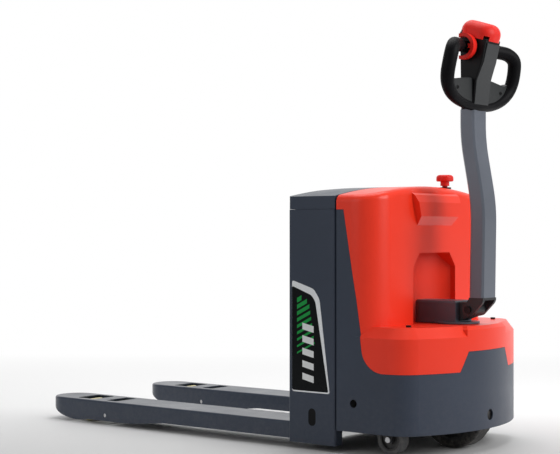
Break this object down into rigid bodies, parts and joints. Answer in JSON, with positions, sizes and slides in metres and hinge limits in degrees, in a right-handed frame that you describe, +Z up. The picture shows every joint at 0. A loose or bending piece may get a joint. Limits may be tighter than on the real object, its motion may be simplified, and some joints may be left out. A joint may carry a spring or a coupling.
{
  "type": "electric pallet truck",
  "caption": "Walk-behind electric pallet truck: low forks with load wheels, battery box, hooded drive end and an upright steering tiller.",
  "frame": {"origin": "middle of the footprint on the floor, forks lowered and tiller upright", "axes": "+Y towards the fork tips, +X to the right of an operator facing the forks, +Z up"},
  "size_m": [0.696, 1.7194, 1.3755],
  "materials": {
    "frame_paint": "satin powder coat",
    "chassis_paint": "satin powder coat",
    "hood_paint": "gloss orange-red moulding",
    "arm_paint": "satin grey coat",
    "black_plastic": "fine grained black",
    "red_plastic": "satin red",
    "steel": "machined",
    "black_steel": "black coat",
    "rubber_black": "black rubber",
    "rubber_grey": "grey rubber",
    "polyurethane": "cream polyurethane",
    "cast": "cast housing",
    "motor_metal": "cast motor housing",
    "nylon": "white nylon",
    "battery_case": "moulded case"
  },
  "bodies": {
    "chassis": {"chassis_frame": "chassis_paint", "hood": "hood_paint", "skirt": "frame_paint", "hood_screws": "steel", "lift_cylinder": "black_steel", "pump_tank": "black_plastic", "pump_motor": "motor_metal", "motor_controller": "motor_metal", "steering_bearing": "steel", "stop_collar": "black_plastic"},
    "e_stop": {"stop_button": "red_plastic"},
    "fork_frame": {"frame_box": "frame_paint", "battery_lid": "frame_paint", "battery": "battery_case", "piston_rod": "steel", "slide_pads": "nylon", "fork_left": "frame_paint", "fork_right": "frame_paint"},
    "rocker": {"rocker_shaft": "black_steel", "rocker_pins": "steel"},
    "rod_left": {"push_rod_left": "black_steel"},
    "rod_right": {"push_rod_right": "black_steel"},
    "load_arm_left_body": {"load_arm_left": "black_steel", "load_pins_left": "steel"},
    "load_arm_right_body": {"load_arm_right": "black_steel", "load_pins_right": "steel"},
    "load_wheel_left": {"load_tyre_left": "polyurethane", "load_hub_left": "steel"},
    "load_wheel_right": {"load_tyre_right": "polyurethane", "load_hub_right": "steel"},
    "caster_left": {"caster_fork_left": "black_steel", "caster_axle_left": "steel"},
    "caster_right": {"caster_fork_right": "black_steel", "caster_axle_right": "steel"},
    "caster_wheel_left": {"caster_tyre_left": "rubber_grey", "caster_hub_left": "black_plastic"},
    "caster_wheel_right": {"caster_tyre_right": "rubber_grey", "caster_hub_right": "black_plastic"},
    "drive_unit": {"turntable": "steel", "gearbox": "cast", "drive_motor": "motor_metal", "motor_brake": "black_steel", "tiller_base": "arm_paint", "hinge_block": "cast", "tiller_pin": "steel"},
    "drive_wheel": {"drive_hub": "cast", "drive_tyre": "rubber_black", "wheel_bolts": "steel"},
    "tiller": {"tiller_yoke": "black_steel", "tiller_arm": "arm_paint", "head_body": "black_plastic", "grip_left": "black_plastic", "grip_right": "black_plastic", "head_screws": "steel"},
    "throttle": {"throttle_paddles": "red_plastic"},
    "belly_button_body": {"belly_button": "red_plastic"},
    "horn": {"horn_button": "red_plastic"},
    "lift_key": {"lift_button": "black_plastic"},
    "lower_key": {"lower_button": "black_plastic"}
  },
  "joints": [
    {"name": "lift", "type": "slide", "parent": "chassis", "child": "fork_frame", "axis": [0, 0, 1], "range_m": [0, 0.115]},
    {"name": "rocker_turn", "type": "hinge", "parent": "fork_frame", "child": "rocker", "pos_m": [0, -0.38428, 0.085], "axis": [1, 0, 0], "range_deg": [0, 60.5]},
    {"name": "rod_left_turn", "type": "hinge", "parent": "rocker", "child": "rod_left", "pos_m": [-0.2625, -0.39728, 0.06248], "axis": [1, 0, 0], "range_deg": [-60.5, 0]},
    {"name": "load_arm_left_turn", "type": "hinge", "parent": "fork_frame", "child": "load_arm_left_body", "pos_m": [-0.2625, 0.55472, 0.034], "axis": [1, 0, 0], "range_deg": [-60.12, 0]},
    {"name": "load_wheel_left_spin", "type": "hinge", "parent": "load_arm_left_body", "child": "load_wheel_left", "pos_m": [-0.2625, 0.68458, 0.04], "axis": [1, 0, 0], "continuous": true},
    {"name": "caster_left_swivel", "type": "hinge", "parent": "chassis", "child": "caster_left", "pos_m": [-0.258, -0.60828, 0.048], "axis": [0, 0, 1], "continuous": true},
    {"name": "caster_wheel_left_spin", "type": "hinge", "parent": "caster_left", "child": "caster_wheel_left", "pos_m": [-0.258, -0.63428, 0.048], "axis": [1, 0, 0], "continuous": true},
    {"name": "rod_right_turn", "type": "hinge", "parent": "rocker", "child": "rod_right", "pos_m": [0.2625, -0.39728, 0.06248], "axis": [1, 0, 0], "range_deg": [-60.5, 0]},
    {"name": "load_arm_right_turn", "type": "hinge", "parent": "fork_frame", "child": "load_arm_right_body", "pos_m": [0.2625, 0.55472, 0.034], "axis": [1, 0, 0], "range_deg": [-60.12, 0]},
    {"name": "load_wheel_right_spin", "type": "hinge", "parent": "load_arm_right_body", "child": "load_wheel_right", "pos_m": [0.2625, 0.68458, 0.04], "axis": [1, 0, 0], "continuous": true},
    {"name": "caster_right_swivel", "type": "hinge", "parent": "chassis", "child": "caster_right", "pos_m": [0.258, -0.60828, 0.048], "axis": [0, 0, 1], "continuous": true},
    {"name": "caster_wheel_right_spin", "type": "hinge", "parent": "caster_right", "child": "caster_wheel_right", "pos_m": [0.258, -0.63428, 0.048], "axis": [1, 0, 0], "continuous": true},
    {"name": "steer", "type": "hinge", "parent": "chassis", "child": "drive_unit", "pos_m": [0, -0.71028, 0.27], "axis": [0, 0, 1], "range_deg": [-90, 90]},
    {"name": "drive_wheel_spin", "type": "hinge", "parent": "drive_unit", "child": "drive_wheel", "pos_m": [0, -0.71028, 0.115], "axis": [1, 0, 0], "continuous": true},
    {"name": "tiller_tilt", "type": "hinge", "parent": "drive_unit", "child": "tiller", "pos_m": [0, -0.77628, 0.448], "axis": [1, 0, 0], "range_deg": [0, 75], "stiffness_Nm_per_rad": 60, "springref_deg": -45.84},
    {"name": "throttle_turn", "type": "hinge", "parent": "tiller", "child": "throttle", "pos_m": [0, -0.77528, 1.286], "axis": [1, 0, 0], "range_deg": [-25, 25], "stiffness_Nm_per_rad": 0.6},
    {"name": "belly_press", "type": "slide", "parent": "tiller", "child": "belly_button_body", "axis": [0, 0.3104, -0.9506], "range_m": [0, 0.006], "stiffness_N_per_m": 800, "springref_m": -0.004},
    {"name": "horn_press", "type": "slide", "parent": "tiller", "child": "horn", "axis": [0, -0.9999, 0.016], "range_m": [0, 0.003], "stiffness_N_per_m": 400, "springref_m": -0.002},
    {"name": "lift_press", "type": "slide", "parent": "tiller", "child": "lift_key", "axis": [0, -0.9999, 0.016], "range_m": [0, 0.003], "stiffness_N_per_m": 400, "springref_m": -0.002},
    {"name": "lower_press", "type": "slide", "parent": "tiller", "child": "lower_key", "axis": [0, -0.9999, 0.016], "range_m": [0, 0.003], "stiffness_N_per_m": 400, "springref_m": -0.002},
    {"name": "stop_press", "type": "slide", "parent": "chassis", "child": "e_stop", "axis": [0, 0, -1], "range_m": [0, 0.004], "stiffness_N_per_m": 1500, "springref_m": -0.003}
  ],
  "couplings": [
    {"joint": "rocker_turn", "follows": "lift", "rad_per_m": 9.1061},
    {"joint": "rod_left_turn", "follows": "lift", "rad_per_m": -9.1061},
    {"joint": "load_arm_left_turn", "follows": "lift", "rad_per_m": -9.0489},
    {"joint": "rod_right_turn", "follows": "lift", "rad_per_m": -9.1061},
    {"joint": "load_arm_right_turn", "follows": "lift", "rad_per_m": -9.0489}
  ]
}
